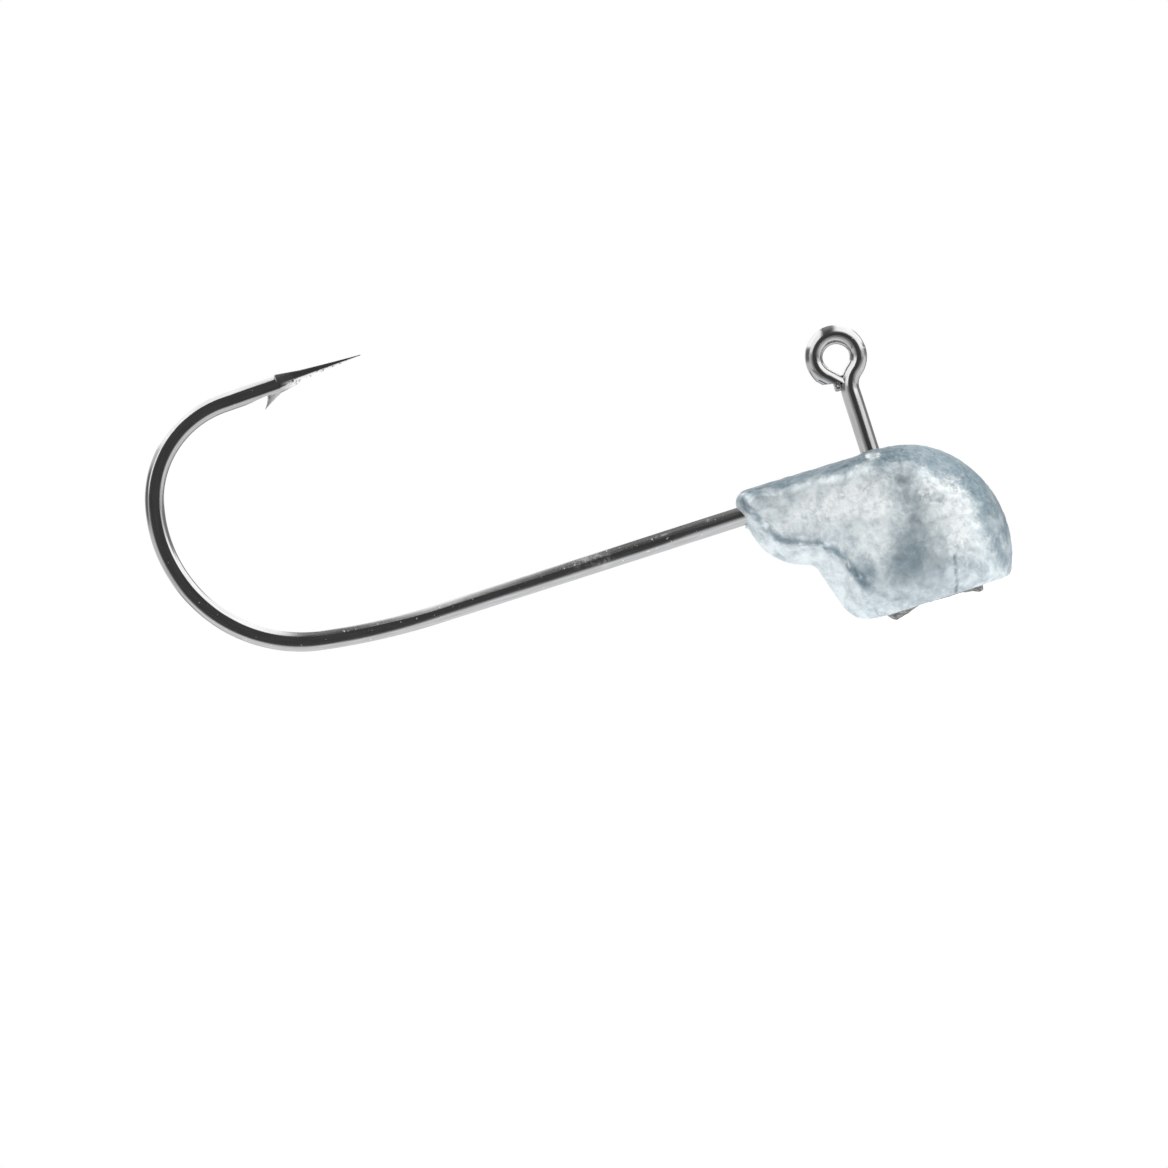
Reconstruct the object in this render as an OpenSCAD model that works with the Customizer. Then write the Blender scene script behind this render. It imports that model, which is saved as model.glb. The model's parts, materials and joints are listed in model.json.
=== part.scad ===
// Stand-up jig head: a lead head cast around the eye end of a 90 degree jig hook.
// The hook lies in the XZ plane. Its shank runs along X at z = 0 and its eye stem along Z at x = 0,
// so the origin is the corner where the two straight axes cross, inside the lead.
// +X points out of the nose, +Z up through the line eye.

/* [Hook wire] */
// Diameter of the hook wire
wire_d = 0.9; // [0.8:0.05:1]
// Diameter of the wire in the line eye, thinned a little by forming
eye_wire_d = 0.84; // [0.7:0.02:0.9]
// Centreline radius of the 90 degree elbow buried in the lead
elbow_r = 0.9; // [0.6:0.05:1]

/* [Hook bend] */
// Straight shank from the corner to the start of the bend
shank_l = 21.25; // [14:0.25:28]
// Radius of the slow lead-in to the bend
lead_in_r = 32.8; // [20:0.5:40]
// Turn made by the lead-in, in degrees
lead_in_turn = 9.8; // [5:0.2:15]
// Radius of the round of the bend
bend_r = 6.75; // [5:0.25:8]
// Turn made by the round of the bend, in degrees
bend_turn = 93.5; // [80:0.5:100]
// Radius of the tighter stretch next to the spear
throat_r = 4.7; // [3.5:0.1:6]
// Angle between the finished spear and the shank, in degrees, opening towards the point
spear_flare = 1.5; // [0:0.5:5]

/* [Hook point] */
// Length of the spear from the bend to the tip
spear_l = 6.75; // [6:0.25:9]
// Length of the ground point
point_l = 4.05; // [3:0.05:5]
// Length of the steep shoulder at the back of the point
shoulder_l = 1.15; // [0.8:0.05:1.5]
// Diameter in front of the shoulder
shoulder_d = 0.54; // [0.4:0.02:0.6]
// Diameter of the flat left at the very tip
tip_d = 0.04; // [0.02:0.01:0.1]
// Height of the barb's tip from the spear's axis
barb_h = 0.97; // [0.8:0.01:1.1]
// Distance from the hook tip back to the tip of the barb
barb_back = 5; // [4.8:0.05:5.2]

/* [Line eye] */
// Height of the eye's centre above the shank axis
eye_z = 5.68; // [5:0.02:7]
// Distance of the eye's centre behind the stem axis
eye_back = 0.16; // [0:0.02:0.3]
// Centreline radius of the eye
eye_r = 1.03; // [0.95:0.01:1.2]
// Angle below the horizontal at which the stem's sweep meets the eye
eye_join = 53; // [48:1:58]
// Angle round the eye at which the wire leaves the circle for its cut end
eye_close = 224; // [215:1:228]
// Length of the straight cut end, short of the stem
eye_tail = 0.58; // [0.3:0.02:0.58]

/* [Head outline] */
// Height of the top line above the shank axis, at the eye stem
top_z = 1.02; // [0.9:0.02:1.3]
// Fall of the top line towards the nose, in degrees
top_fall = 1; // [0:0.5:2]
// Height of the flat underside
base_z = -6.4; // [-7:0.1:-6]
// Where the top line turns into the nose
nose_start = 0.56; // [0.2:0.02:1]
// Radius of the upper nose
nose_r = 4.25; // [4:0.05:4.6]
// Turn made by the upper nose, in degrees
nose_turn = 43.8; // [40:0.2:48]
// Radius of the lower nose
chin_r = 5.3; // [5:0.05:5.6]
// Radius of the corner between nose and underside
chin_corner_r = 0.4; // [0.3:0.05:0.8]
// Length of the top line, from the keeper's corner to the nose
top_l = 6.58; // [6:0.02:7]
// Radius of the corner at the rear of the underside
rear_corner_r = 1.33; // [1:0.05:1.6]
// Turn made by that corner, in degrees
rear_corner_turn = 73.6; // [68:0.2:80]
// Radius of the inside corner between rear wall and keeper
rear_fillet_r = 0.63; // [0.5:0.05:1]
// Turn made by that inside corner, in degrees
rear_fillet_turn = 58; // [50:0.5:62]
// Radius of the keeper's belly
belly_r = 2.8; // [2.4:0.05:3.2]
// Turn made by the belly, in degrees
belly_turn = 63; // [58:0.5:68]
// Length of the straight across the keeper's end, below its top corner
keeper_end = 1.36; // [1.1:0.02:1.6]
// Radius of the corner at the rear of the top line
keeper_corner_r = 0.63; // [0.5:0.05:0.8]

/* [Head thickness] */
// Half-thickness of the body at its fullest
body_half = 2.7; // [2.2:0.1:3]
// Half-thickness of the bait keeper
keeper_half = 1.6; // [1.4:0.05:1.8]
// Half-width of the flat on the underside
base_half = 1.75; // [1:0.05:1.9]
// Half-width of the land left along the parting line
land_half = 0.04; // [0.03:0.01:0.08]
// Thickness of the broken gate under the head
gate_w = 1.1; // [0.8:0.1:1.5]

/* [Hidden] */

steel = "dimgray";
lead = "lightsteelblue";
round_fn = 64;
weld = 0.004;              // how far the ball at each joint of the wire stands proud
arc_step = 9;              // degrees between outline points on an arc
run_step = 0.5;            // spacing of outline points on a straight

throat_turn = 180 - spear_flare - lead_in_turn - bend_turn;
// Radius of the sweep that carries the stem sideways into the side of the eye, and where it starts
sweep_r = (eye_r * cos(eye_join) - eye_back) / (1 - cos(eye_join));
sweep_z = eye_z - (eye_r + sweep_r) * sin(eye_join);
taper_l = 0.5;             // length over which the stem thins to the wire of the eye
stem_l = sweep_z - elbow_r - taper_l;

barb_w = 0.4;              // width across the wire
barb_l = 1;                // length along the wire, from the front of the root to the tip
barb_root = 0.62;          // length of the root
barb_sunk = 0.12;          // depth of the root in the wire
barb_hollow = [0.28, 0.42]; // where its front dips: behind the root and below the tip
cut_front = 0.4;           // how far the cut under the barb starts in front of the barb's tip
cut_l = 0.9;
cut_depth = 0.1;

edge_steps = 6;            // rings across the edge band
inner_steps = 4;           // rings from there to the middle
middle = [-1.85, -1.4];    // a point that sees the whole outline

// Fullest points of body and keeper, and how fast the body thins away from its own
body_x = 0.25;
body_z = -3.7;
body_tall = 7.5;
body_long = 12;
keeper_x = -5.2;
keeper_z = 0.25;
keeper_draft = 8;          // degrees that the keeper's sides close up below its fullest line

// Broken edge of the gate, as [x, depth below the underside]: a torn lip at each end, low between
gate_edge = [
    [-1.6, 0], [-1.43, 0.25], [-1.22, 0.46], [-1.02, 0.39], [-0.55, 0.27], [-0.31, 0.15],
    [0.09, 0.05], [1.3, 0.13], [2.2, 0.16], [2.63, 0.27], [2.86, 0.39], [3.05, 0.35], [3.1, 0]
];
gate_root = 0.3;           // how far the gate reaches up into the head

// ---- hook: one wire, drawn as a chain in which each length carries the next ----

// The joint to the next length: a ball a few microns proud, which makes the two lengths one solid
module joined(d) {
    sphere(d = d + 2 * weld, $fn = round_fn);
    children();
}

// A straight length along +X, which may taper to another diameter
module run(length, d = wire_d, end_d = undef) {
    far_d = is_undef(end_d) ? d : end_d;
    rotate([0, 90, 0]) cylinder(d1 = d, d2 = far_d, h = length, $fn = round_fn);
    translate([length, 0, 0]) if ($children > 0) joined(far_d) children();
}

// An arc that starts along +X and curls towards +Z (turn > 0) or -Z (turn < 0)
module curl(radius, turn, d = wire_d) {
    side = sign(turn);
    translate([0, 0, side * radius]) rotate([90, 0, 0])
        rotate_extrude(angle = turn, start = -90 * side, $fn = round_fn * 3)
            translate([radius, 0]) circle(d = d, $fn = round_fn);
    translate([0, 0, side * radius]) rotate([0, -turn, 0]) translate([0, 0, -side * radius])
        if ($children > 0) joined(d) children();
}

// Barb: a sliver raised from the underside of the spear. Drawn from the hook tip, +X forward.
module barb() {
    front = barb_l - barb_back;
    sunk = wire_d / 2 - barb_sunk;
    rotate([90, 0, 0]) linear_extrude(height = barb_w, center = true) polygon([
        [front, sunk], [front - barb_root, sunk],
        [-barb_back, barb_h], [front - barb_hollow[0], barb_h - barb_hollow[1]]
    ]);
}

// The cut the barb was raised from, which runs out towards the bend
module barb_cut() {
    front = cut_front - barb_back;
    surface = wire_d / 2 + weld;
    rotate([90, 0, 0]) linear_extrude(height = wire_d, center = true) polygon([
        [front, surface - cut_depth], [front - cut_l, surface], [front, surface]
    ]);
}

// Ground point: a short steep shoulder, then a slender taper to the tip
module point() {
    run(shoulder_l, wire_d, shoulder_d) run(point_l - shoulder_l, shoulder_d, tip_d);
}

// Spear, with its barb and ground point, along +X
module spear() {
    difference() {
        run(spear_l - point_l) point();
        translate([spear_l, 0, 0]) barb_cut();
    }
    translate([spear_l, 0, 0]) barb();
}

// Shank, bend and spear, from the end of the elbow towards -X
module shank_and_bend() {
    translate([-elbow_r, 0, 0]) mirror([1, 0, 0]) joined(wire_d)
        run(shank_l - elbow_r) curl(lead_in_r, lead_in_turn)
            curl(bend_r, bend_turn) curl(throat_r, throat_turn) spear();
}

// Stem and eye, from the end of the elbow upwards
module stem_and_eye() {
    translate([0, 0, elbow_r]) rotate([0, -90, 0]) joined(wire_d)
        run(stem_l) run(taper_l, wire_d, eye_wire_d) curl(sweep_r, -eye_join, eye_wire_d)
            curl(eye_r, eye_join + eye_close, eye_wire_d) run(eye_tail, eye_wire_d);
}

// The elbow that joins shank and stem
module elbow() {
    translate([-elbow_r, 0, 0]) curl(elbow_r, 90);
}

module hook() {
    color(steel) {
        shank_and_bend();
        elbow();
        stem_and_eye();
    }
}

// ---- lead head: a two-sided casting that swells from a flat parting line ----

// Where the top line starts, at the keeper's rear corner
function top_start() = [nose_start - top_l * cos(top_fall), top_z + top_l * sin(top_fall)];

// Where a move ends that leaves p at heading h: a straight if turn is 0, otherwise an arc
function move_end(p, h, size, turn) =
    turn == 0 ? p + size * [cos(h), sin(h)]
    : p + sign(turn) * size * [sin(h + turn) - sin(h), cos(h) - cos(h + turn)];

// Heading at the foot of the nose, from which the chin corner lands on the underside
function chin_heading() =
    let (
        from = -top_fall - nose_turn,
        top = move_end([nose_start, top_z], -top_fall, nose_r, -nose_turn)
    )
    -acos((base_z - top[1] + chin_r * cos(from) + chin_corner_r) / (chin_r - chin_corner_r));

// The outline as a clockwise path. Each move is [length or radius, turn, band, roundness], where a
// turn of 0 is a straight, and the last two hold at the end of the move. The band is how far in from
// the parting line the edge reaches the full thickness. A roundness of 1 is a rounded edge and 0 is a
// straight drafted wall with a crisp rim.
function moves(base_run, rear_wall) = [
    [top_l, 0, 0.9, 1],
    [nose_r, -nose_turn, 2.2, 1],
    [chin_r, chin_heading() + top_fall + nose_turn, 2.6, 1],
    [chin_corner_r, -180 - chin_heading(), 1.4, 1],
    [base_run, 0, 1.2, 0.6],
    [rear_corner_r, -rear_corner_turn, 1.4, 0],
    [rear_wall, 0, 1.3, 0],
    [rear_fillet_r, rear_fillet_turn, 1.15, 0],
    [belly_r, -belly_turn, 1.1, 0],
    [keeper_end, 0, 0.5, 0.3],
    [keeper_corner_r, -180 - top_fall + rear_corner_turn - rear_fillet_turn + belly_turn, 0.8, 1]
];

// The point that a path reaches
function path_end(m, i = 0, p = top_start(), h = -top_fall) =
    i == len(m) ? p : path_end(m, i + 1, move_end(p, h, m[i][0], m[i][1]), h + m[i][1]);

// The underside and the rear wall are the two straights whose lengths close the path
function closed_moves() =
    let (
        gap = top_start() - path_end(moves(0, 0)),
        wall_heading = -180 - rear_corner_turn,
        wall = gap[1] / sin(wall_heading)
    )
    moves(wall * cos(wall_heading) - gap[0], wall);

// Points along the path: [x, z, heading, band, roundness]
function trace(m, i = 0, p = top_start(), h = -top_fall, band = 0.8, soft = 1) =
    i == len(m) ? [] :
    let (
        size = m[i][0],
        turn = m[i][1],
        steps = ceil(turn == 0 ? size / run_step : abs(turn) / arc_step),
        pts = [for (k = [0:steps - 1]) let (f = k / steps)
            concat(k == 0 ? p : move_end(p, h, turn == 0 ? f * size : size, f * turn),
                [h + f * turn, band + f * (m[i][2] - band), soft + f * (m[i][3] - soft)])]
    )
    concat(pts, trace(m, i + 1, move_end(p, h, size, turn), h + turn, m[i][2], m[i][3]));

function mix(a, b, t) = a + (b - a) * t;
function ease(t) = let (c = min(max(t, 0), 1)) c * c * (3 - 2 * c);

// Half-thickness of the keeper and of the body where the edges have no effect
function keeper_crown(z) = keeper_half - max(keeper_z - z, 0) * tan(keeper_draft);
function body_crown(x, z) =
    body_half * sqrt(1 - pow((z - body_z) / body_tall, 2) - pow((x - body_x) / body_long, 2));
function crown(x, z) =
    mix(keeper_crown(z), body_crown(x, z), ease((x - keeper_x) / (body_x - keeper_x)));

// Half-width of the flat underside, rounded off towards both of its ends
function flat_half(x, z, ends) =
    let (t = (2 * x - ends[0] - ends[1]) / (ends[1] - ends[0]))
    z > base_z + 0.001 || abs(t) >= 1 ? 0 : base_half * pow(1 - pow(abs(t), 3), 1 / 3);

// Height of the side face at a share q of the way in across the edge band
function edge_rise(q, soft) = mix(q, sqrt(q * (2 - q)), soft);

// One ring of the side face: [x, half-thickness, z] for each outline point
function edge_ring(outline, q, ends) = [for (o = outline)
    let (
        p = [o[0], o[1]],
        inward = (middle - p) / norm(middle - p),
        depth = q * o[3] / (inward * [sin(o[2]), -cos(o[2])]),
        at = p + depth * inward,
        low = max(flat_half(o[0], o[1], ends), land_half)
    )
    [at[0], mix(low, crown(at[0], at[1]), edge_rise(q, o[4])), at[1]]];

// A ring a share f of the way from the end of the edge band to the middle
function inner_ring(rim, f) = [for (r = rim)
    let (x = mix(r[0], middle[0], f), z = mix(r[2], middle[1], f))
    [x, crown(x, z), z]];

// The solid between the side face and its mirror image
module swelling(rings) {
    n = len(rings[0]);
    last = len(rings) - 1;
    half = [for (ring = rings) each ring];
    tip = [middle[0], crown(middle[0], middle[1]), middle[1]];
    far = concat(half, [tip]);
    near = [for (p = far) [p[0], -p[1], p[2]]];
    m = len(far);              // offset from a point of one side to its mirror image
    polyhedron(points = concat(far, near), faces = [
        for (i = [0:n - 1]) let (j = (i + 1) % n) each [
            for (k = [0:last - 1]) [k * n + j, k * n + i, (k + 1) * n + i, (k + 1) * n + j],
            for (k = [0:last - 1]) [m + k * n + i, m + k * n + j, m + (k + 1) * n + j, m + (k + 1) * n + i],
            [last * n + j, last * n + i, m - 1],
            [m + last * n + i, m + last * n + j, 2 * m - 1],
            [i, j, m + j, m + i]
        ]
    ], convexity = 6);
}

// The head before the hook's channel is taken out of it
module casting() {
    outline = trace(closed_moves());
    on_base = [for (o = outline) if (o[1] < base_z + 0.001) o[0]];
    ends = [min(on_base), max(on_base)];
    band = [for (k = [0:edge_steps]) edge_ring(outline, pow(k / edge_steps, 2), ends)];
    inner = [for (k = [1:inner_steps - 1]) inner_ring(band[edge_steps], k / inner_steps)];
    swelling(concat(band, inner));
}

// What is left of the sprue: a thin broken scar with a torn lip at each end, along the parting line
module gate_scar() {
    rear = gate_edge[0][0];
    front = gate_edge[len(gate_edge) - 1][0];
    translate([0, 0, base_z]) rotate([-90, 0, 0])
        linear_extrude(height = gate_w, center = true)
            polygon(concat([[front, -gate_root], [rear, -gate_root]], gate_edge));
}

module lead_head() {
    color(lead) difference() {
        union() {
            casting();
            gate_scar();
        }
        channel();
    }
}

// The space that the cast-in wire fills, open at the keeper's end and at the top
module channel() {
    translate([-elbow_r, 0, 0]) mirror([1, 0, 0]) joined(wire_d) run(top_l);
    elbow();
    translate([0, 0, elbow_r]) rotate([0, -90, 0]) joined(wire_d) run(stem_l);
}

hook();
lead_head();
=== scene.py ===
"""Looks of the stand-up jig head: a swept nickel-plated hook and a cast lead head, in the CAD frame."""
import json
import math

import bmesh
import bpy
import numpy as np
from mathutils import Matrix, Vector, noise


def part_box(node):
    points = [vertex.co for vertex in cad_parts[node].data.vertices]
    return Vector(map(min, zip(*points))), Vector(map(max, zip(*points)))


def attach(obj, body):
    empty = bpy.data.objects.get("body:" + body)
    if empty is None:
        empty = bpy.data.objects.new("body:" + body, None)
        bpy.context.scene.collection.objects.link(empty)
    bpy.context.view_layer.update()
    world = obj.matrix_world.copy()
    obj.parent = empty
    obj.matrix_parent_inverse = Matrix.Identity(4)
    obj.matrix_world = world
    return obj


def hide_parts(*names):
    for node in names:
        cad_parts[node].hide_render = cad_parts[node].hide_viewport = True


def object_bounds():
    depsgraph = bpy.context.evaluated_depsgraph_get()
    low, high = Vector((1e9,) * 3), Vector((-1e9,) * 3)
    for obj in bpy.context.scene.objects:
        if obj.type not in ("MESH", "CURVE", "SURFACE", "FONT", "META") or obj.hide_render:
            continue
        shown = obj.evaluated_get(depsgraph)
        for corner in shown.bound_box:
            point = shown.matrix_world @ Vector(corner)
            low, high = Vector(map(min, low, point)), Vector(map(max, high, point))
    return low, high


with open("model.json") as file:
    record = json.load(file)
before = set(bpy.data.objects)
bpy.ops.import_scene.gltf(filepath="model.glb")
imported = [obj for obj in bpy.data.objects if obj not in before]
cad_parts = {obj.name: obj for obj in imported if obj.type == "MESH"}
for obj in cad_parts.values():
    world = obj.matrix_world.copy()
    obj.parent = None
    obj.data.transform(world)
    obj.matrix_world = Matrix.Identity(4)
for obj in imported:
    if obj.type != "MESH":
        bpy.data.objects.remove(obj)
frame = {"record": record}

MM = 0.001
CAD_LO, CAD_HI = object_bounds()
MOUNTS = {m["name"]: [round(v / MM, 6) for v in m["pos_m"]] for m in frame["record"]["mounts"]}

# Direction of the view, in CAD axes: square on to the hook plane, rolled so that the shank rises
ROLL = math.radians(17.8)
VIEW_RIGHT = Vector((math.cos(ROLL), 0, -math.sin(ROLL)))
VIEW_UP = Vector((math.sin(ROLL), 0, math.cos(ROLL)))
VIEW_TOWARD = Vector((0, -1, 0))

# Hook, in mm and degrees, the same wire as the CAD node. A pair is an arc's radius and turn
WIRE_D = 0.9
EYE_WIRE_D = 0.84
ELBOW_R = 0.9
SHANK_L = 21.25
LEAD_IN = (32.8, 9.8)
BEND = (6.75, 93.5)
SPEAR_FLARE = 1.5
THROAT = (4.7, 180 - SPEAR_FLARE - LEAD_IN[1] - BEND[1])
SPEAR_L = 6.75
POINT_L = 4.05
SHOULDER_L = 1.15
SHOULDER_D = 0.54
TIP_D = 0.04
EYE_Z = MOUNTS["line_eye"][2]
EYE_BACK = -MOUNTS["line_eye"][0]
EYE_R = 1.03
EYE_JOIN = 53
EYE_CLOSE = 224
EYE_TAIL = 0.58
# The eye's wire is a little thinner low down and thicker over the top
EYE_THIN = 0.008
EYE_SWELL = 0.035
# Flats forged on the wire's sides: depth as a share of the radius, then where along the wire, from the
# start of the shank, they begin and are full. Unpressed is just clear of the wire
UNPRESSED = 1.05
SHANK_FLAT = (0.13, 6.5, 10.5)
BEND_FLAT = (0.09, 19, 25)
FLAT_CORNER = 24
# Ground facets of the point: tilt from the hook plane, and distance from the axis at either end of the
# step as a share of the radius
UPPER_TILT = 82
UPPER_FACET = (0.84, 0.56)
LOWER_TILT = 52
LOWER_FACET = (1.0, 0.55)
THINNEST = 0.012
# Slice the barb was raised from: depth, and where it starts, is full and ends, from the tip
BARB_CUT = (0.075, 5.9, 4.75, 4.5)
# Barb, from the tip: along the spear, and in towards the shank
BARB_FRONT = [(-3.8, 0.36), (-4.22, 0.5), (-5.0, 0.95)]
BARB_BACK = [(-4.68, 0.36), (-4.72, 0.58), (-5.0, 0.95)]
BARB_HALF = 0.24
# Lip at the cut end of the eye
BURR_AT = Vector((-0.5, 0.0, EYE_Z - 1.33))
BURR_HALF = (0.18, 0.24, 0.22)
# Rubbed places on the wire: x, z, half-length, half-height
SCUFFS = [
    (-13.9, 0.2, 1.0, 0.3), (-13.3, 0.0, 0.5, 0.4), (-8.1, 0.3, 0.16, 0.12),
    (-10.4, 0.28, 0.6, 0.05), (-0.58, 4.33, 0.16, 0.26),
]
AROUND = 64


# ---------- small helpers ----------

def smooth(x, lo, hi):
    """0 below lo, 1 above hi, eased between; lo may be the larger."""
    t = np.clip((np.asarray(x, float) - lo) / (hi - lo), 0, 1)
    return t * t * (3 - 2 * t)


def cosd(a):
    """Cosine of an angle in degrees."""
    return np.cos(np.radians(a))


def sind(a):
    """Sine of an angle in degrees."""
    return np.sin(np.radians(a))


def fractal(points, size, octaves=3, seed=0.0):
    """Smooth noise, about -1 to 1, with features of a given size in mm."""
    shift = Vector((seed, 2.7 * seed, -1.3 * seed))
    out = np.zeros(len(points))
    for i, p in enumerate(points):
        out[i] = noise.fractal(Vector(p) / size + shift, 1.0, 2.0, octaves)
    return out


def new_object(name, verts, faces):
    """A mesh object in the scene."""
    mesh = bpy.data.meshes.new(name)
    mesh.from_pydata([tuple(v) for v in verts], [], faces)
    mesh.validate()
    obj = bpy.data.objects.new(name, mesh)
    bpy.context.scene.collection.objects.link(obj)
    return obj


def applied(obj):
    """The object with its modifiers applied."""
    bpy.context.view_layer.update()
    graph = bpy.context.evaluated_depsgraph_get()
    mesh = bpy.data.meshes.new_from_object(obj.evaluated_get(graph))
    obj.modifiers.clear()
    old = obj.data
    obj.data = mesh
    bpy.data.meshes.remove(old)
    return obj


def boolean(obj, other, operation):
    """obj united with or cut by other, which is used up."""
    mod = obj.modifiers.new("b", "BOOLEAN")
    mod.operation = operation
    mod.solver = "EXACT"
    mod.object = other
    applied(obj)
    bpy.data.objects.remove(other)
    return obj


def points_of(mesh):
    """The vertices, one row each."""
    co = np.zeros(len(mesh.vertices) * 3)
    mesh.vertices.foreach_get("co", co)
    return co.reshape(-1, 3)


def normals_of(mesh):
    """The vertex normals, one row each."""
    out = np.zeros(len(mesh.vertices) * 3)
    mesh.vertex_normals.foreach_get("vector", out)
    return out.reshape(-1, 3)


def set_points(mesh, co):
    """Moves the vertices to the rows of co."""
    mesh.vertices.foreach_set("co", co.ravel())
    mesh.update()


def add_attribute(mesh, name, values):
    """A number or a vector on each vertex."""
    kind = "FLOAT" if values.ndim == 1 else "FLOAT_VECTOR"
    layer = mesh.attributes.new(name, kind, "POINT")
    layer.data.foreach_set("value" if kind == "FLOAT" else "vector", values.ravel())


def skin_rings(rings, around):
    """Quads between rings of points, with a fan over each end."""
    count = len(rings) // around
    faces = []
    for i in range(count - 1):
        for j in range(around):
            k = (j + 1) % around
            faces.append((i * around + j, i * around + k, (i + 1) * around + k, (i + 1) * around + j))
    faces.append(tuple(range(around))[::-1])
    faces.append(tuple((count - 1) * around + j for j in range(around)))
    return faces


# ---------- hook ----------

def chain(x, z, heading, lengths, step):
    """Points along straights (length,) and arcs (radius, turn): rows of x, z, heading."""
    rows = [(x, z, heading)]
    for length in lengths:
        if len(length) == 1:
            n = max(1, round(length[0] / step))
            for i in range(1, n + 1):
                d = length[0] * i / n
                rows.append((x + d * cosd(heading), z + d * sind(heading), heading))
        else:
            radius, turn = length
            side = math.copysign(1, turn)
            n = max(1, round(math.radians(abs(turn)) * radius / step))
            for i in range(1, n + 1):
                h = heading + turn * i / n
                rows.append((x + side * radius * (sind(h) - sind(heading)),
                             z + side * radius * (cosd(heading) - cosd(h)), h))
        x, z, heading = rows[-1]
    return np.array(rows)


def hook_path():
    """Centreline from the cut end at the eye to the tip of the point: rows of x, z, heading, and how
    far along the wire each row is."""
    sweep_r = (EYE_R * cosd(EYE_JOIN) - EYE_BACK) / (1 - cosd(EYE_JOIN))
    stem_l = EYE_Z - (EYE_R + sweep_r) * sind(EYE_JOIN) - ELBOW_R
    eye = [(sweep_r, -EYE_JOIN), (EYE_R, EYE_JOIN + EYE_CLOSE), (EYE_TAIL,)]
    up = chain(0, ELBOW_R, 90, [(stem_l,)] + eye, 0.045)
    up = up[::-1].copy()
    up[:, 2] += 180
    elbow = chain(0, ELBOW_R, 270, [(ELBOW_R, -90)], 0.1)
    shank = chain(-ELBOW_R, 0, 180, [(SHANK_L - ELBOW_R,)], 0.1)
    x, z, h = shank[-1]
    bend = chain(x, z, h, [(radius, -turn) for radius, turn in (LEAD_IN, BEND, THROAT)], 0.09)
    x, z, h = bend[-1]
    spear = chain(x, z, h, [(SPEAR_L - POINT_L,), (POINT_L,)], 0.04)
    rows = np.vstack([up, elbow[1:], shank[1:], bend[1:], spear[1:]])
    step = np.hypot(np.diff(rows[:, 0]), np.diff(rows[:, 1]))
    along = np.concatenate([[0], np.cumsum(step)])
    return rows, along


def wire_radius(along, to_tip, x, z):
    """Half the wire's thickness before forging and grinding."""
    eye_end = EYE_TAIL + math.radians(EYE_JOIN + EYE_CLOSE) * EYE_R
    r = 0.5 * (EYE_WIRE_D + (WIRE_D - EYE_WIRE_D) * smooth(along, eye_end, eye_end + 1.6))
    in_eye = smooth(along, eye_end + 0.5, eye_end - 0.5)
    r = r + (EYE_SWELL * smooth(z, EYE_Z + 0.1, EYE_Z + EYE_R) - EYE_THIN) * in_eye
    shoulder = POINT_L - SHOULDER_L
    cone = np.where(to_tip > shoulder,
                    SHOULDER_D + (WIRE_D - SHOULDER_D) * (to_tip - shoulder) / SHOULDER_L,
                    TIP_D + (SHOULDER_D - TIP_D) * np.clip(to_tip / shoulder, 0, 1) ** 1.12)
    return np.minimum(r, 0.5 * cone)


def cut_by_plane(r, angle, toward, distance):
    """Radius at each angle, cut back by a plane at a distance from the axis."""
    lean = np.cos(angle - toward)
    reach = np.where(lean > 0.05, distance / np.maximum(lean, 0.05), np.inf)
    return np.minimum(r, reach)


def tail_shift(rows, along, n, y):
    """How much farther each point round the cut end reaches: up against the stem on the inside,
    sheared short on the outside."""
    x, z, heading = rows[0]
    start = np.stack([x - n * sind(heading), y, z + n * cosd(heading)], 1)
    ahead = -np.array([cosd(heading), 0, sind(heading)])
    stem = rows[(along > EYE_TAIL + 4) & (along < EYE_TAIL + 9)]
    stem = np.stack([stem[:, 0], 0 * stem[:, 0], stem[:, 1]], 1)
    reach = np.zeros(len(n))
    for step in np.arange(0, 0.45, 0.01):
        at = start + ahead * step
        gap = np.sqrt(((at[:, None] - stem[None]) ** 2).sum(2)).min(1) - WIRE_D / 2
        reach = np.where((reach >= step - 0.011) & (gap > 0.005), step, reach)
    short = np.clip(n / np.abs(n).max(), 0, 1)
    return np.where(n > 0, -0.5 * short, reach * smooth(n, 0, -0.15))


def pressed_share(run):
    """Half-width that the forged flats leave, as a share of the wire's radius."""
    shank = SHANK_FLAT[0] * smooth(run, *SHANK_FLAT[1:])
    bend = BEND_FLAT[0] * smooth(run, *BEND_FLAT[1:])
    return UNPRESSED - shank - bend


def ground_section(r, angle, t, radius):
    """Section of the point at t from its tip, cut by two facets above and two on the inner side."""
    in_point = (POINT_L - t) / POINT_L
    upper = radius * (UPPER_FACET[0] - (UPPER_FACET[0] - UPPER_FACET[1]) * min(in_point / 0.2, 1))
    lower = radius * (LOWER_FACET[0] - (LOWER_FACET[0] - LOWER_FACET[1]) * float(smooth(in_point, 0, 0.28)))
    lower *= 1 + 0.06 * noise.noise(Vector((t * 5, 0, 5)))
    for side in (-1, 1):
        r = cut_by_plane(r, angle, side * math.radians(UPPER_TILT), max(upper, THINNEST))
        r = cut_by_plane(r, angle, math.pi + side * math.radians(LOWER_TILT), max(lower, THINNEST))
    return r


def wire_section(angle, t, radius, share):
    """Section of the wire at t from its tip: n out from the hook's inside, y across."""
    r = np.full(AROUND, radius)
    if t < POINT_L:
        r = ground_section(r, angle, t, radius)
    depth, start, full, end = BARB_CUT
    cut = depth * float(smooth(t, start, full) * (t > end))
    if cut > 0:
        r = cut_by_plane(r, angle, math.pi, radius - cut)
    n = r * np.cos(angle)
    y = r * np.sin(angle)
    if share is not None:
        y = y / (1 + (np.abs(y) / (share * radius)) ** FLAT_CORNER) ** (1 / FLAT_CORNER)
    return n, y


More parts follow.
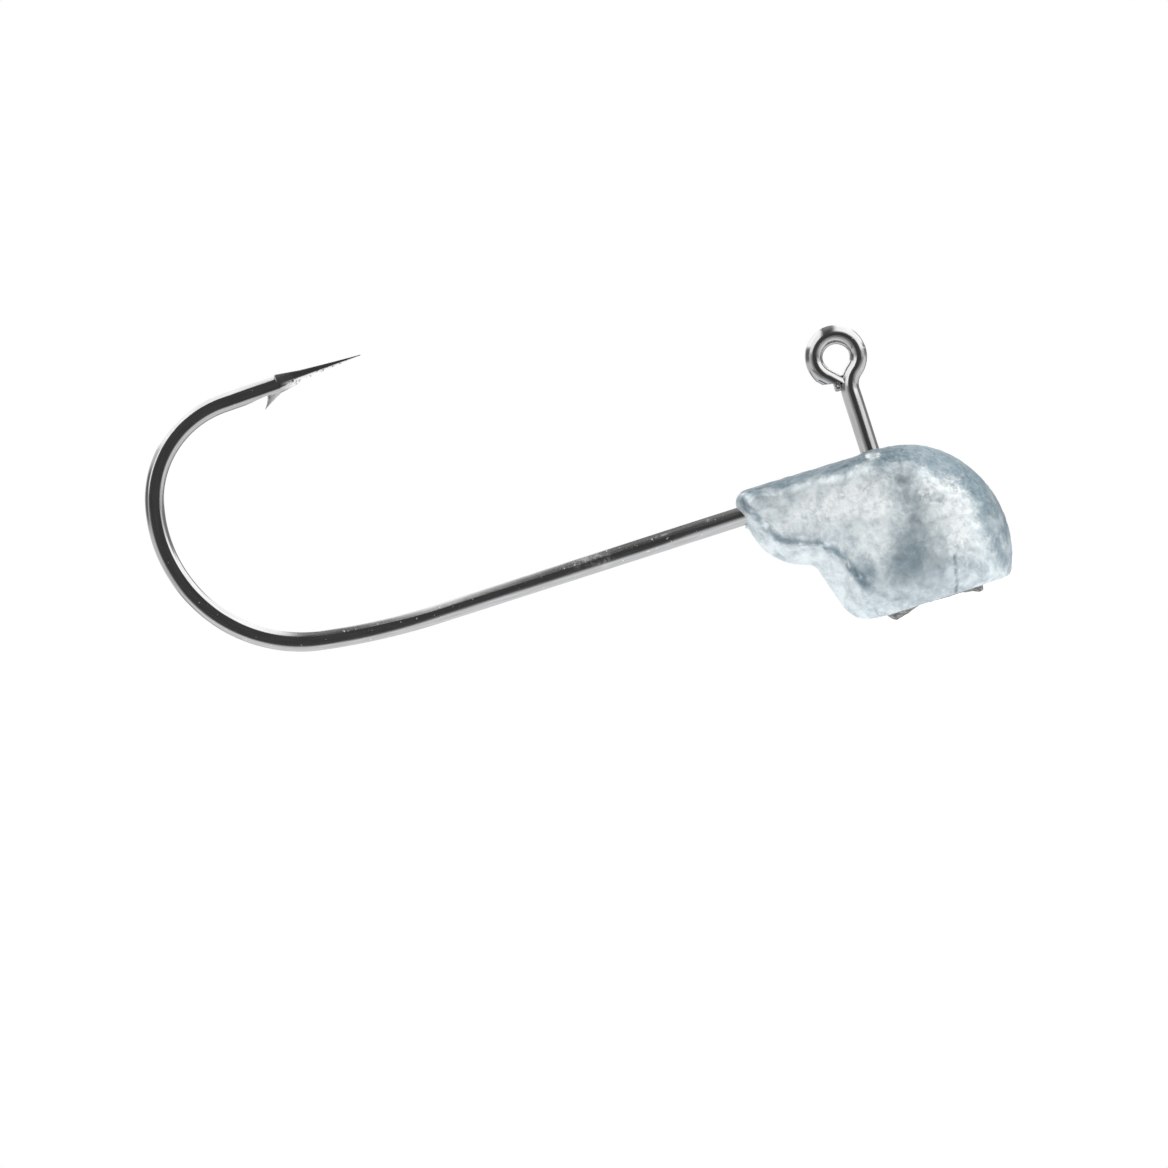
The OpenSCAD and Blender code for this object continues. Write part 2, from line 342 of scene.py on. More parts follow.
def hook_mesh():
    """Rings of points along the wire, and the same points with the wire unrolled."""
    rows, along = hook_path()
    to_tip = along[-1] - along
    x, z, heading = rows.T
    radius = wire_radius(along, to_tip, x, z)
    radius = radius * (1 + 0.006 * np.array([noise.noise(Vector((a * 0.9, 3.1, 0))) for a in along]))
    run = along - along[np.argmax((x < -ELBOW_R) & (z < 0.1))]
    share = pressed_share(run)
    angle = np.linspace(0, 2 * math.pi, AROUND, endpoint=False)
    rings = []
    unrolled = []
    for i in range(len(rows)):
        n, y = wire_section(angle, to_tip[i], radius[i], share[i] if run[i] > 0 else None)
        if i == 0:
            cut_shift = tail_shift(rows, along, n, y)
        shift = cut_shift * max(1 - along[i] / 1.2, 0)
        px = x[i] - n * sind(heading[i]) - shift * cosd(heading[i])
        pz = z[i] + n * cosd(heading[i]) - shift * sind(heading[i])
        rings.append(np.stack([px, y, pz], 1))
        unrolled.append(np.stack([np.full(AROUND, along[i]), n, y], 1))
    return np.vstack(rings), np.vstack(unrolled)


def spear_frame():
    """Tip of the point, and the directions forward along the spear and in towards the shank."""
    rows, along = hook_path()
    x, z, h = rows[-1]
    forward = Vector((cosd(h), 0, sind(h)))
    inward = Vector((sind(h), 0, -cosd(h)))
    return Vector((x, 0, z)), forward, inward


def barb_mesh():
    """A sliver sliced up from the inner side of the spear: a thin curved thorn."""
    tip, forward, inward = spear_frame()
    around = 20
    steps = 26
    rings = []
    for i in range(steps + 1):
        t = i / steps
        w = ((1 - t) ** 2, 2 * t * (1 - t), t * t)
        f = sum(w[k] * np.array(BARB_FRONT[k]) for k in range(3))
        b = sum(w[k] * np.array(BARB_BACK[k]) for k in range(3))
        half = (b - f) / 2
        centre = (f + b) / 2
        size = max(1 - t, 0.02)
        for j in range(around):
            a = 2 * math.pi * j / around
            boxy = (abs(math.cos(a)) ** 4 + abs(math.sin(a)) ** 4) ** -0.25
            c = centre + half * math.cos(a) * boxy * (1 if t < 1 else 0)
            y = BARB_HALF * size * math.sin(a) * boxy
            rings.append(tip + forward * c[0] + inward * c[1] + Vector((0, y, 0)))
    return [tuple(p) for p in rings], skin_rings(rings, around)


def burr_mesh():
    """The torn lip that the shears left on the cut end of the eye."""
    bm = bmesh.new()
    bmesh.ops.create_icosphere(bm, subdivisions=4, radius=1)
    verts = []
    for v in bm.verts:
        boxy = (abs(v.co.x) ** 5 + abs(v.co.y) ** 5 + abs(v.co.z) ** 5) ** -0.2
        torn = 1 + 0.12 * noise.noise(v.co * 2.1)
        verts.append(BURR_AT + Vector([v.co[k] * BURR_HALF[k] for k in range(3)]) * boxy * torn)
    faces = [tuple(v.index for v in f.verts) for f in bm.faces]
    bm.free()
    return verts, faces


def mark_hook(mesh, co):
    """Where the wire is rubbed, where the point is ground bright, and where its upper facets get a painted
    dark reflection.
    """
    x, y, z = co.T
    scuff = np.zeros(len(x))
    for sx, sz, length, height in SCUFFS:
        far = np.hypot((x - sx) / length, (z - sz) / height)
        scuff = np.maximum(scuff, smooth(far, 1.3, 0.2))
    tip, forward, inward = spear_frame()
    along = (co - np.array(tip)) @ np.array(forward)
    below = (co - np.array(tip)) @ np.array(inward)
    half = 0.09 + 0.36 * np.clip(-along / POINT_L, 0, 1)
    on_spear = (z > 6) & (x < -10)
    ground = smooth(along, -POINT_L, -POINT_L + 0.9) * smooth(below / half, 0.0, 0.25) * on_spear
    # Upper facets of the point, painted near black as a painted dark reflection
    painted_dark_facet = smooth(along, -POINT_L - 0.03, -POINT_L + 0.03) * smooth(below / half, 0.55, 0.3) * on_spear
    add_attribute(mesh, "scuff", scuff)
    add_attribute(mesh, "ground", ground)
    add_attribute(mesh, "painted_dark_facet", painted_dark_facet)


def build_hook():
    """The wire, with its barb and the burr on the eye, as one mesh."""
    verts, unrolled = hook_mesh()
    hook = new_object("hook_wire", verts, skin_rings(verts, AROUND))
    add_attribute(hook.data, "wire", unrolled)
    mark_hook(hook.data, np.array(verts))
    boolean(hook, new_object("barb", *barb_mesh()), "UNION")
    boolean(hook, new_object("burr", *burr_mesh()), "UNION")
    return hook


# ---------- lead head ----------

# Outline, in mm and degrees, the same as the CAD node. A pair is an arc's radius and turn
TOP_Z = 1.02
TOP_FALL = 1
TOP_L = 6.58
BASE_Z = MOUNTS["underside"][2]
NOSE_START = 0.56
NOSE_R = 4.25
NOSE_TURN = 43.8
CHIN_R = 5.3
CHIN_CORNER_R = 0.4
REAR_CORNER = (1.33, 73.6)
REAR_FILLET = (0.63, 58)
BELLY = (2.8, 63)
KEEPER_END = 1.36
KEEPER_CORNER_R = 0.63
# Half-widths, the middle of the side, where the body and the keeper are fullest, and how the body falls
# away from there
BODY_HALF = 2.7
KEEPER_HALF = 1.6
BASE_HALF = 1.75
LAND_HALF = 0.04
MIDDLE = np.array([-1.85, -1.4])
BODY_FULL = (0.25, -3.7)
BODY_REACH = (12, 7.5)
KEEPER_FULL = (-5.2, 0.25)
KEEPER_DRAFT = 8
# Steps of the mesh
OUTLINE_STEP = 0.07
EDGE_RINGS = 16
INNER_RINGS = 26
VOXEL = 0.05
# Crease between the head's side and its rear wall: x, z
RIM = [
    (-6.35, 0.9), (-6.1, 0.4), (-5.85, -0.15), (-5.58, -0.85), (-5.22, -1.4), (-4.75, -1.75), (-4.3, -1.95),
    (-3.75, -2.15), (-3.35, -2.4), (-3.0, -2.75), (-2.65, -3.25), (-2.35, -3.85), (-2.12, -4.6), (-2.0, -5.5),
]
# Old marks across the side: x, z
MARKS = [
    [(1.4, -1.7), (1.75, -1.95), (2.15, -2.1), (2.75, -2.45)],
    [(2.15, -4.3), (2.0, -4.8), (1.95, -5.2), (1.72, -6.3)],
]
# Shallow hollow down the side, between keeper and nose: x, z
HOLLOW = [(0.5, 0.6), (0.92, -1.85), (0.35, -3.7), (-0.35, -4.4)]
# Painted glints on the lead, where highlights fall: x, z, half-length, half-height, strength
PAINTED_GLINTS = [
    (-2.4, -0.8, 2.2, 0.8, 0.75), (-0.7, -1.5, 0.7, 0.6, 1), (-4.9, -0.95, 0.4, 0.5, 0.6),
    (2.65, -2.3, 0.8, 1.2, 0.8), (2.6, -3.9, 0.6, 0.9, 0.8), (1.9, -1.5, 0.6, 0.5, 0.7),
    (-1.2, -3.0, 0.7, 0.9, 0.4), (-0.2, 0.83, 0.14, 0.14, 1), (0.22, 0.74, 0.14, 0.14, 1),
]
# Lower edge of the broken gate: x, depth below the base
GATE_EDGE = [
    (-1.6, 0), (-1.43, 0.25), (-1.22, 0.46), (-1.02, 0.39), (-0.55, 0.27), (-0.31, 0.15),
    (0.09, 0.03), (1.3, 0.1), (2.05, 0.09), (2.3, 0.16), (2.6, 0.2), (2.86, 0.37), (3.05, 0.33), (3.1, 0),
]
GATE_HALF = 0.55
GATE_STEP = 0.035
GATE_ROWS = 27
# Lead that crept up round the stem, and the flash spur under the shank's exit: half-sizes
COLLAR_AT = (-0.02, -0.05, 0.93)
COLLAR = (0.6, 0.64, 0.19)
SPUR = (0.14, 0.1, 0.1)
# Relief of the cast surface, in mm. The skin draws it all in, to keep the dents inside the CAD head
DENTS = 0.055
PITTING = 0.02
HOLLOW_DEPTH = 0.11
MARK_DEPTH = 0.035
SKIN = 0.02


def move_end(p, heading, size, turn):
    """Where a straight of a given size, or an arc of that radius, ends."""
    if turn == 0:
        return p + size * np.array([cosd(heading), sind(heading)])
    h = heading + turn
    return p + math.copysign(size, turn) * np.array([sind(h) - sind(heading), cosd(heading) - cosd(h)])


def outline_moves(base_run, rear_wall):
    """The outline, clockwise from the keeper's top corner: size, turn, edge band, roundness, painted edge
    shade.
    """
    nose_foot = -TOP_FALL - NOSE_TURN
    top = move_end(np.array([NOSE_START, TOP_Z]), -TOP_FALL, NOSE_R, -NOSE_TURN)
    reach = (BASE_Z - top[1] + CHIN_R * cosd(nose_foot) + CHIN_CORNER_R) / (CHIN_R - CHIN_CORNER_R)
    chin = -math.degrees(math.acos(reach))
    last = -180 - TOP_FALL + REAR_CORNER[1] - REAR_FILLET[1] + BELLY[1]
    return [
        (TOP_L, 0, 0.9, 1, 1),
        (NOSE_R, -NOSE_TURN, 2.2, 1, 1),
        (CHIN_R, chin - nose_foot, 2.6, 1, 0.5),
        (CHIN_CORNER_R, -180 - chin, 1.4, 1, 0.1),
        (base_run, 0, 1.2, 0.6, 0),
        (REAR_CORNER[0], -REAR_CORNER[1], 1.4, 0, 0),
        (rear_wall, 0, 1.3, 0, 0),
        (REAR_FILLET[0], REAR_FILLET[1], 1.15, 0, 0),
        (BELLY[0], -BELLY[1], 1.1, 0, 0),
        (KEEPER_END, 0, 0.5, 0.3, 0.3),
        (KEEPER_CORNER_R, last, 0.8, 1, 0.8),
    ]


def path_start():
    """The keeper's top corner, where the outline starts."""
    return np.array([NOSE_START - TOP_L * cosd(TOP_FALL), TOP_Z + TOP_L * sind(TOP_FALL)])


def head_outline():
    """Rows of x, z, heading, band, roundness, painted edge shade."""
    p = path_start()
    h = -TOP_FALL
    for size, turn, *_ in outline_moves(0, 0):
        p = move_end(p, h, size, turn)
        h += turn
    gap = path_start() - p
    wall_heading = -180 - REAR_CORNER[1]
    wall = gap[1] / sind(wall_heading)
    moves = outline_moves(wall * cosd(wall_heading) - gap[0], wall)
    p = path_start()
    h = -TOP_FALL
    held = np.array([0.8, 1, 1])
    rows = []
    for size, turn, *ends in moves:
        length = size if turn == 0 else math.radians(abs(turn)) * size
        n = max(2, round(length / OUTLINE_STEP))
        for k in range(n):
            f = k / n
            q = move_end(p, h, f * size if turn == 0 else size, f * turn) if k else p
            rows.append((*q, h + f * turn, *(held + f * (np.array(ends) - held))))
        p = move_end(p, h, size, turn)
        h += turn
        held = np.array(ends)
    return np.array(rows)


def head_crown(x, z):
    """Half-thickness where the edges have no effect."""
    keeper = KEEPER_HALF - np.maximum(KEEPER_FULL[1] - z, 0) * math.tan(math.radians(KEEPER_DRAFT))
    along = (x - BODY_FULL[0]) / BODY_REACH[0]
    up = (z - BODY_FULL[1]) / BODY_REACH[1]
    body = BODY_HALF * np.sqrt(1 - up ** 2 - along ** 2)
    t = smooth(x, KEEPER_FULL[0], BODY_FULL[0])
    return keeper + t * (body - keeper)


def head_rings(outline):
    """Rings of points from the outline in to the middle of one side: first over the rounded edge, then
    across the crown."""
    x, z, heading, band, soft = outline.T[:5]
    p = np.stack([x, z], 1)
    inward = MIDDLE - p
    inward /= np.linalg.norm(inward, axis=1)[:, None]
    square = inward[:, 0] * sind(heading) - inward[:, 1] * cosd(heading)
    on_base = z < BASE_Z + 0.001
    ends = x[on_base].min(), x[on_base].max()
    t = np.abs((2 * x - ends[0] - ends[1]) / (ends[1] - ends[0]))
    flat = np.where(on_base & (t < 1), BASE_HALF * np.clip(1 - t ** 3, 0, 1) ** (1 / 3), 0)
    low = np.maximum(flat, LAND_HALF)
    rings = []
    for k in range(EDGE_RINGS + 1):
        q = (k / EDGE_RINGS) ** 2
        at = p + (q * band / square)[:, None] * inward
        rise = q + soft * (math.sqrt(q * (2 - q)) - q)
        half = low + rise * (head_crown(at[:, 0], at[:, 1]) - low)
        rings.append(np.stack([at[:, 0], half, at[:, 1]], 1))
    rim = rings[-1]
    for k in range(1, INNER_RINGS):
        f = k / INNER_RINGS
        xi = rim[:, 0] + f * (MIDDLE[0] - rim[:, 0])
        zi = rim[:, 2] + f * (MIDDLE[1] - rim[:, 2])
        rings.append(np.stack([xi, head_crown(xi, zi), zi], 1))
    return rings


def casting_mesh(outline):
    """Both sides of the casting, joined round the outline by the parting line's land."""
    rings = head_rings(outline)
    n = len(outline)
    last = len(rings) - 1
    tip = np.array([[MIDDLE[0], head_crown(*MIDDLE), MIDDLE[1]]])
    far = np.vstack(rings + [tip])
    near = far * np.array([1, -1, 1])
    m = len(far)
    faces = []
    for i in range(n):
        j = (i + 1) % n
        for k in range(last):
            a, b = k * n, (k + 1) * n
            faces.append((a + i, a + j, b + j, b + i))
            faces.append((m + a + j, m + a + i, m + b + i, m + b + j))
        faces.append((last * n + i, last * n + j, m - 1))
        faces.append((m + last * n + j, m + last * n + i, 2 * m - 1))
        faces.append((j, i, m + i, m + j))
    return np.vstack([far, near]), faces


def slab_faces(nx, ny):
    """Faces of a slab whose bottom and top are grids of nx by ny points."""
    m = nx * ny
    faces = []
    for i in range(nx - 1):
        for j in range(ny - 1):
            a = i * ny + j
            b = a + 1
            c = b + ny
            d = a + ny
            faces.append((a, b, c, d))
            faces.append((m + d, m + c, m + b, m + a))
    for i in range(nx - 1):
        a = i * ny
        b = a + ny - 1
        faces.append((a, a + ny, m + a + ny, m + a))
        faces.append((b + ny, b, m + b, m + b + ny))
    for j in range(ny - 1):
        a = (nx - 1) * ny
        faces.append((j + 1, j, m + j, m + j + 1))
        faces.append((a + j, a + j + 1, m + a + j + 1, m + a + j))
    return faces


def gate_mesh():
    """The torn sprue: a grid over its length and thickness, ragged at the bottom."""
    edge = np.array(GATE_EDGE)
    xs = np.arange(edge[0, 0], edge[-1, 0] + 0.001, GATE_STEP)
    ys = np.linspace(-GATE_HALF, GATE_HALF, GATE_ROWS)
    depth = np.interp(xs, edge[:, 0], edge[:, 1])
    bottom = []
    for i, x in enumerate(xs):
        lean = 0.25 * noise.noise(Vector((x * 1.1, 4, 2)))
        for y in ys:
            t = abs(y) / GATE_HALF
            torn = 1 + 0.35 * noise.noise(Vector((x * 2.2, y * 3.0, 1)))
            d = depth[i] * (1 - t ** 2.5) * min(torn, 1)
            d *= 1 - 0.7 * min(abs(y / GATE_HALF - lean), 1)
            bottom.append((x, y, BASE_Z - d + 0.02 * noise.noise(Vector((x * 8, y * 8, 3)))))
    top = [(p[0], p[1], BASE_Z + 0.2) for p in bottom]
    return bottom + top, slab_faces(len(xs), len(ys))


def channel_mesh():
    """The space of the buried wire, as a plain tube that runs on past the lead at both ends."""
    start = 3.2
    around = 40
    wire = chain(0, start, 270, [(start - ELBOW_R,), (ELBOW_R, -90), (TOP_L + 1.5 - ELBOW_R,)], 0.12)
    rings = []
    for x, z, h in wire:
        for j in range(around):
            a = 2 * math.pi * j / around
            n = WIRE_D / 2 * math.cos(a)
            rings.append((x - n * sind(h), WIRE_D / 2 * math.sin(a), z + n * cosd(h)))
    return rings, skin_rings(rings, around)


def join(objs):
    """The first object, holding the meshes of all of them."""
    base = objs[0]
    bm = bmesh.new()
    for o in objs:
        bm.from_mesh(o.data)
    bm.to_mesh(base.data)
    bm.free()
    for o in objs[1:]:
        bpy.data.objects.remove(o)
    return base


def outline_distance(points, outline):
    """Distance of each point from the outline in the hook plane, and the row it is nearest to."""
    line = outline[:, :2]
    near = np.zeros(len(points))
    row = np.zeros(len(points), int)
    for start in range(0, len(points), 4000):
        part = points[start:start + 4000][:, None, :]
        d = ((part - line[None]) ** 2).sum(2)
        k = d.argmin(1)
        row[start:start + 4000] = k
        near[start:start + 4000] = np.sqrt(d[np.arange(len(k)), k])
    return near, row


def line_distance(x, z, line):
    """Distance from a polyline in the hook plane."""
    best = np.full(len(x), 1e9)
    for (x0, z0), (x1, z1) in zip(line, line[1:]):
        dx, dz = x1 - x0, z1 - z0
        t = np.clip(((x - x0) * dx + (z - z0) * dz) / (dx * dx + dz * dz), 0, 1)
        best = np.minimum(best, np.hypot(x - x0 - t * dx, z - z0 - t * dz))
    return best


def blob_mesh(centre, radii, seed):
    """A small lumpy bead of lead."""
    bm = bmesh.new()
    bmesh.ops.create_icosphere(bm, subdivisions=4, radius=1)
    verts = []
    for v in bm.verts:
        lumpy = 1 + 0.2 * noise.noise(v.co * 1.7 + Vector((seed, 0, 0)))
        verts.append(Vector(centre) + Vector([v.co[k] * radii[k] * lumpy for k in range(3)]))
    faces = [tuple(v.index for v in f.verts) for f in bm.faces]
    bm.free()
    return verts, faces


def build_head():
    """The casting with its gate, collar and spur, cut by the wire's channel."""
    outline = head_outline()
    keeper_x = path_start()[0]
    parts = [
        new_object("lead_casting", *casting_mesh(outline)),
        new_object("gate", *gate_mesh()),
        new_object("collar", *blob_mesh(COLLAR_AT, COLLAR, 1)),
        new_object("spur", *blob_mesh((keeper_x - 0.42, 0, -0.56), SPUR, 2)),
    ]
    head = join(parts)
    mod = head.modifiers.new("r", "REMESH")
    mod.mode = "VOXEL"
    mod.voxel_size = VOXEL
    applied(head)
    boolean(head, new_object("channel", *channel_mesh()), "DIFFERENCE")
    dress_head(head.data, outline)
    return head


def spread(mesh, values, weight, rounds):
    """Values on the vertices, averaged with their neighbours where weight is 1."""
    ends = np.zeros(len(mesh.edges) * 2, int)
    mesh.edges.foreach_get("vertices", ends)
    a, b = ends.reshape(-1, 2).T
    size = len(values)
    count = np.bincount(a, minlength=size) + np.bincount(b, minlength=size)
    for _ in range(rounds):
        total = np.bincount(a, values[b], size) + np.bincount(b, values[a], size)
        values = values + (total / count - values) * weight
    return values


def relax(mesh, weight, rounds):
    """Smooths the surface where weight is 1."""
    co = points_of(mesh)
    columns = [spread(mesh, co[:, k], weight, rounds) for k in range(3)]
    set_points(mesh, np.stack(columns, 1))


def ease_creases(mesh):
    """Rounds off the chin and the crease that the edge bands leave, then the whole surface a little."""
    x, y, z = points_of(mesh).T
    off_seam = smooth(np.abs(y), 0.2, 0.5)
    chin = smooth(np.hypot(x - 3.4, z + 5.6), 2.0, 1.2) * off_seam
    chin *= smooth(z, BASE_Z + 0.02, BASE_Z + 0.15)
    relax(mesh, chin, 220)
    rim = line_distance(x, z, RIM)
    relax(mesh, smooth(rim, 0.5, 0.2) * off_seam * smooth(z, BASE_Z + 0.3, BASE_Z + 1), 5)
    relax(mesh, np.full(len(x), 0.5), 2)


def dress_head(mesh, outline):
    """Cast texture, the hollow and the tone of the surface."""
    ease_creases(mesh)
    co = points_of(mesh)
    nrm = normals_of(mesh)
    x, y, z = co.T
    edge, row = outline_distance(np.stack([x, z], 1), outline)
    wire = np.minimum(np.hypot(y, z) + 9 * (x > -1), np.hypot(x, y) + 9 * (z < 0))
    free = smooth(wire, 0.5, 0.9)
    side = smooth(edge, 0.0, 0.5)
    hollow = line_distance(x, z, HOLLOW)
    rim = line_distance(x + 0.12, z + 0.05, RIM)
    ragged = fractal(co, 0.55, 4, 3.0)
    marks = np.min([line_distance(x + 0.1 * ragged, z, line) for line in MARKS], 0)
    marks = smooth(marks, 0.16, 0.0) * smooth(ragged, -0.6, 0.2)
    move = DENTS * fractal(co, 1.1, 4, 1.0) * side + PITTING * fractal(co, 0.35, 2, 2.0)
    move -= HOLLOW_DEPTH * (1 - smooth(hollow, 0, 1.1)) * smooth(edge, 0.4, 1.4)
    move -= SKIN + MARK_DEPTH * marks * side
    co = co + nrm * (move * free)[:, None]
    lo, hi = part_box("lead_head")
    set_points(mesh, np.clip(co, np.array(lo) / MM, np.array(hi) / MM))
    tone_head(mesh, co, nrm, outline[row], edge + 0.3 * ragged, rim, hollow, ragged, marks)


def painted_shade_of(mesh, co, nrm, rows, edge, rim, ragged):
    """Painted shade on the lead: along the top and the nose, on faces turned up, and beyond the crease."""
    x, y, z = co.T
    everywhere = np.full(len(co), 0.9)
    reach = 0.5 * smooth(x, 0.4, 2.4)
    band = rows[:, 5] * (1 - smooth(edge, 0.2 + reach, 0.85 + 2 * reach))
    painted_shade = spread(mesh, band, everywhere, 25)
    painted_shade = painted_shade * (1 + 0.45 * smooth(x, 2, 3.5) + 0.5 * smooth(np.abs(x + 1.1), 2.4, 0.5))
    # Faces turned up are painted darker, as shade from the dark space overhead
    painted_shade = np.maximum(painted_shade, 1.35 * smooth(nrm[:, 2], 0.75, 0.97))
    painted_shade *= smooth(np.hypot(x, z - 0.78), 0.1, 0.42)
    beyond = smooth(rim + 0.25 * ragged, 1.1, 0.2) * smooth(edge, 0.9, 1.3)
    beyond = beyond * (0.2 + 0.45 * smooth(z, -2, -3.6))
    beyond = spread(mesh, beyond * (rows[:, 4] < 0.35), everywhere, 30)
    return np.maximum(painted_shade, beyond)


def painted_glint_of(x, z, ragged):
    """Strength of the painted glints."""
    painted_glint = np.zeros(len(x))
    for gx, gz, length, height, strength in PAINTED_GLINTS:
        far = np.hypot((x - gx) / length, (z - gz) / height)
        painted_glint = np.maximum(painted_glint, strength * smooth(far + 0.4 * ragged, 1.5, 0.4))
    return painted_glint


def tone_head(mesh, co, nrm, rows, edge, rim, hollow, ragged, marks):
    """Numbers from 0 to 1 that the lead's material is mixed by."""
    x, y, z = co.T
    # Painted shade along the crease by the rear wall, and painted shadow on each side of the stem's foot; the
    # real old marks join them as dark lines
    dark_lines = smooth(rim + 0.12 * ragged, 0.34, 0.0) * smooth(z, -5.6, -4.2) * smooth(ragged, -1.0, 0.1)
    foot = np.minimum(np.hypot(x + 0.55, z - 0.9), np.hypot(x - 0.52, z - 0.86))
    lines = np.max([0.8 * dark_lines, 0.6 * marks, 0.9 * smooth(foot, 0.16, 0.05)], 0)
    # Painted shade along the top, the nose and the crease
    add_attribute(mesh, "painted_shade", painted_shade_of(mesh, co, nrm, rows, edge, rim, ragged))
    add_attribute(mesh, "dark_lines", lines)
    # Painted shade down the real hollow, and low on the body
    add_attribute(mesh, "hollow", 1 - smooth(hollow, 0.1, 1.3))
    add_attribute(mesh, "shade", smooth(np.hypot((x - 0.2) / 3.8, (z + 4.9) / 2.4), 1.0, 0.25))
    # Painted glints
    add_attribute(mesh, "painted_glint", painted_glint_of(x, z, ragged))
    add_attribute(mesh, "torn", (z < BASE_Z - 0.02).astype(float))


# ---------- shader arithmetic ----------

class Value:
    """A number inside a node tree, which plain arithmetic can be written with."""

    def __init__(self, tree, socket):
        self.tree = tree
        self.socket = socket

    def node(self, operation, *others):
        made = self.tree.nodes.new("ShaderNodeMath")
        made.operation = operation
        for slot, term in zip(made.inputs, (self,) + others):
            connect(self.tree, term, slot)
        return Value(self.tree, made.outputs[0])

    def __add__(self, other):
        return self.node("ADD", other)

    def __sub__(self, other):
        return self.node("SUBTRACT", other)

    def __mul__(self, other):
        return self.node("MULTIPLY", other)

    def __rsub__(self, other):
        return self.node("MULTIPLY", -1).node("ADD", other)

    __radd__ = __add__
    __rmul__ = __mul__

    def ramp(self, lo, hi):
        """0 at lo, 1 at hi, eased between; lo may be the larger."""
        made = self.tree.nodes.new("ShaderNodeMapRange")
        made.interpolation_type = "SMOOTHSTEP"
        flip = lo > hi
        connect(self.tree, self, made.inputs["Value"])
        made.inputs["From Min"].default_value = min(lo, hi)
        made.inputs["From Max"].default_value = max(lo, hi)
        made.inputs["To Min"].default_value = 1.0 if flip else 0.0
        made.inputs["To Max"].default_value = 0.0 if flip else 1.0
        return Value(self.tree, made.outputs["Result"])

    def within(self, lo, hi, soft):
        """1 between lo and hi, with soft ends."""
        return self.ramp(lo - soft, lo + soft) * self.ramp(hi + soft, hi - soft)


def connect(tree, term, slot):
    """Puts a Value, a socket or a plain number into a slot."""
    if isinstance(term, Value):
        tree.links.new(term.socket, slot)
    elif hasattr(term, "is_output"):
        tree.links.new(term, slot)
    else:
        slot.default_value = term


def over(base, level, mask):
    """base, replaced by level where mask is 1."""
    return base + (level - base) * mask


def dot(tree, vector, direction):
    """How far a vector reaches along a direction."""
    made = tree.nodes.new("ShaderNodeVectorMath")
    made.operation = "DOT_PRODUCT"
    tree.links.new(vector, made.inputs[0])
    made.inputs[1].default_value = direction
    return Value(tree, made.outputs["Value"])


def object_mm(tree):
    """Place on the object in mm."""
    coord = tree.nodes.new("ShaderNodeTexCoord")
    scale = tree.nodes.new("ShaderNodeVectorMath")
    scale.operation = "SCALE"
    scale.inputs["Scale"].default_value = 1 / MM
    tree.links.new(coord.outputs["Object"], scale.inputs[0])
    return scale.outputs["Vector"]


def attribute(tree, name, output="Fac"):
    """A mesh attribute, as the number or the vector it holds."""
    made = tree.nodes.new("ShaderNodeAttribute")
    made.attribute_name = name
    return made.outputs[output]


def stretched(tree, vector, factors):
    """A vector, scaled by a factor on each axis."""
    made = tree.nodes.new("ShaderNodeVectorMath")
    made.operation = "MULTIPLY"
    tree.links.new(vector, made.inputs[0])
    made.inputs[1].default_value = factors
    return made.outputs["Vector"]


def texture(tree, vector, scale, detail=4, rough=0.55, distortion=0.0):
    """Noise from 0 to 1."""
    made = tree.nodes.new("ShaderNodeTexNoise")
    tree.links.new(vector, made.inputs["Vector"])
    made.inputs["Scale"].default_value = scale
    made.inputs["Detail"].default_value = detail
    made.inputs["Roughness"].default_value = rough
    made.inputs["Distortion"].default_value = distortion
    return Value(tree, made.outputs["Fac"])


def colour_mix(tree, mask, a, b):
    """Colour a, replaced by b where mask is 1."""
    made = tree.nodes.new("ShaderNodeMix")
    made.data_type = "RGBA"
    connect(tree, mask, made.inputs[0])
    for slot, term in ((made.inputs[6], a), (made.inputs[7], b)):
        if isinstance(term, tuple):
            slot.default_value = (*term, 1)
        else:
            tree.links.new(term, slot)
    return made.outputs[2]


def bump(tree, height, distance, strength, normal=None):
    """A bumped normal, on top of another if one is given."""
    made = tree.nodes.new("ShaderNodeBump")
    made.inputs["Distance"].default_value = distance
    made.inputs["Strength"].default_value = strength
    connect(tree, height, made.inputs["Height"])
    if normal is not None:
        tree.links.new(normal, made.inputs["Normal"])
    return made.outputs["Normal"]


def new_material(name):
    """A material, its node tree and its shader."""
    mat = bpy.data.materials.new(name)
    mat.use_nodes = True
    tree = mat.node_tree
    return mat, tree, tree.nodes["Principled BSDF"]


NICKEL = (0.43, 0.425, 0.42)
NICKEL_STREAK = (0.53, 0.53, 0.53)
NICKEL_WORN = (0.72, 0.72, 0.72)
NICKEL_SPECK = (0.85, 0.85, 0.85)
# Near black, a painted dark reflection on the point's upper facets
NICKEL_PAINTED_DARK_FACET = (0.05, 0.05, 0.052)
STEEL_GROUND = (0.86, 0.86, 0.85)
LEAD = (0.84, 0.905, 0.92)
# Dark lead tones, for the painted shade and the darker mottling
LEAD_DARKEST = (0.13, 0.185, 0.22)
LEAD_DARK = (0.24, 0.315, 0.36)
# Pale tone of the painted glints
LEAD_PAINTED_GLINT = (0.96, 0.985, 0.985)
LEAD_TORN = (0.13, 0.13, 0.125)
LEAD_TORN_PALE = (0.42, 0.41, 0.40)


